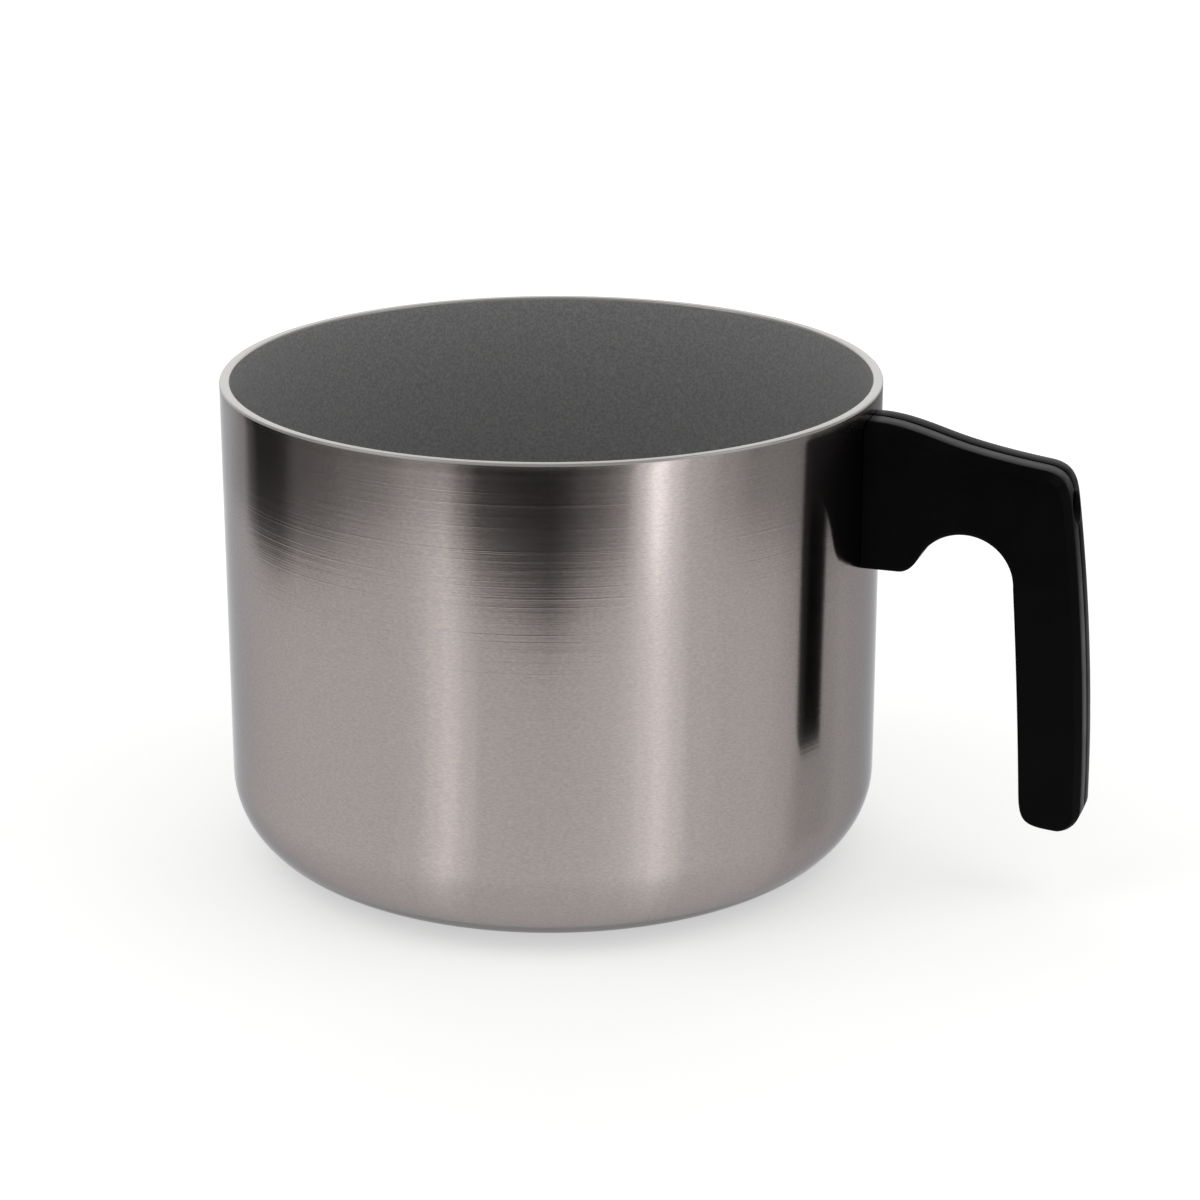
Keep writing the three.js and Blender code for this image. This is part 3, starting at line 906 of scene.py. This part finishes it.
def make_sky():
    """An even sky that fades from white at the horizon to a softer light overhead."""
    world = bpy.data.worlds.new("studio")
    world.use_nodes = True
    bpy.context.scene.world = world
    tree = world.node_tree
    tree.nodes.clear()
    way = add(tree, "ShaderNodeTexCoord").outputs["Generated"]
    rise = add(tree, "ShaderNodeSeparateXYZ", {"Vector": way}).outputs["Z"]
    strength = mapped(tree, rise, *SKY_FADE, 1.0, SKY_OVERHEAD)
    back = add(tree, "ShaderNodeBackground", {"Color": linear("#ffffff"), "Strength": strength})
    add(tree, "ShaderNodeOutputWorld", {"Surface": back.outputs["Background"]})


def make_floor():
    """White paper, lit a little from behind so that the contact shadow stays soft."""
    made, tree = material("back-lit white paper")
    paper = {"Base Color": linear("#e2e2e0"), "Roughness": 0.9, "Specular IOR Level": 0.1}
    paper |= {"Emission Color": linear("#ffffff"), "Emission Strength": FLOOR_GLOW}
    finish_with(tree, add(tree, "ShaderNodeBsdfPrincipled", paper))
    mesh = bpy.data.meshes.new("floor")
    corners = [(-1, -1), (1, -1), (1, 1), (-1, 1)]
    mesh.from_pydata([(x * FLOOR_HALF, y * FLOOR_HALF, 0) for x, y in corners], [], [(0, 1, 2, 3)])
    mesh.materials.append(made)
    floor = new_object("floor", mesh)


def make_painted_reflections():
    """Glowing and dark cards laid round the pot just over the floor, which only show as reflections in the
    metal: painted reflections, bright streaks where they glow brighter than the floor and dark patches where
    they barely glow, with a painted contact shade along their foot by the wall. To the camera, each place
    round the wall mirrors them along one line. An entry of CARDS is that place in degrees from the camera,
    the height in millimetres where the edge between the inner and the outer card shows on the wall, and the
    brightness of both there."""
    loops = [[], [], [], [], []]
    for place, edge, inner, outer in CARDS:
        foot, wall = studio_direction(place) * CARD_NEAR, studio_direction(place) * POT_RADIUS
        mirrored = studio_direction(2 * place) * MIRROR_REACH * MM
        # The foot of each card glows at the painted contact shade's level.
        loops[0].append((foot, CONTACT_SHADE_GLOW))
        loops[1].append((wall + mirrored * CORNER_FADE, inner))
        loops[2].append((wall + mirrored * edge, inner))
        loops[3].append((wall + mirrored * (edge + 1), outer))
        loops[4].append((wall + mirrored * CARD_FAR, outer))
    points = [point + Vector((0, 0, CARD_LIFT)) for loop in loops for point, glow in loop]
    mesh = bpy.data.meshes.new("painted_reflection_cards")
    mesh.from_pydata(points, [], grid_faces(len(loops), len(CARDS), closed=True))
    glows = [glow for loop in loops for point, glow in loop]
    mesh.attributes.new("glow", "FLOAT", "POINT").data.foreach_set("value", glows)
    made, tree = material("glowing card for painted reflections")
    glow = add(tree, "ShaderNodeAttribute", attribute_name="glow").outputs["Fac"]
    light = add(tree, "ShaderNodeEmission", {"Color": linear("#ffffff"), "Strength": glow})
    add(tree, "ShaderNodeOutputMaterial", {"Surface": light.outputs["Emission"]})
    mesh.materials.append(made)
    ring = new_object("painted_reflection_cards", mesh)
    for ray in ("camera", "diffuse", "shadow", "transmission", "volume_scatter"):
        setattr(ring, f"visible_{ray}", False)


def make_studio():
    """The sky, the floor, the cards and three softboxes: one behind and one on each side."""
    scene = bpy.context.scene
    scene.view_settings.view_transform = "Standard"
    # Light thrown back by the metal would leave bright arcs on the plain floor.
    scene.cycles.caustics_reflective = False
    make_sky()
    make_floor()
    make_painted_reflections()
    softbox("back panel", azimuth=180, elevation=24, distance=1.6, width=2.2, height=0.9, power=6)
    softbox("left softbox", azimuth=-75, elevation=50, distance=1.5, width=1.0, height=1.0, power=3.2)
    softbox("right softbox", azimuth=75, elevation=50, distance=1.5, width=1.0, height=1.0, power=2.8)


# ---------------------------------------------------------------- the build

make_camera()
SATIN_ALUMINIUM = satin_aluminium()
TURNED_RIM = turned_rim()
NON_STICK = non_stick()
BLACK_PHENOLIC = black_phenolic()
ZINC_PLATED_STEEL = zinc_plated_steel()
RIVET_ALUMINIUM = rivet_aluminium()
TURNED = turned_tree()

pieces = [
    (make_pot(), "pot_body", "satin_aluminium"),
    (make_handle(), "handle", "black_phenolic"),
    (make_strap(), "handle_bracket", "zinc_plated_steel"),
    (make_nut(), "bracket_nut", "zinc_plated_steel"),
    (make_screw(), "handle_screw", "zinc_plated_steel"),
]
pieces += [(handle_rivet(name), name, "rivet_aluminium") for name in RIVET_HEIGHTS]
for piece, node, slot in pieces:
    shade(piece)
    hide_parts(node)
    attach(piece, "root")
make_studio()
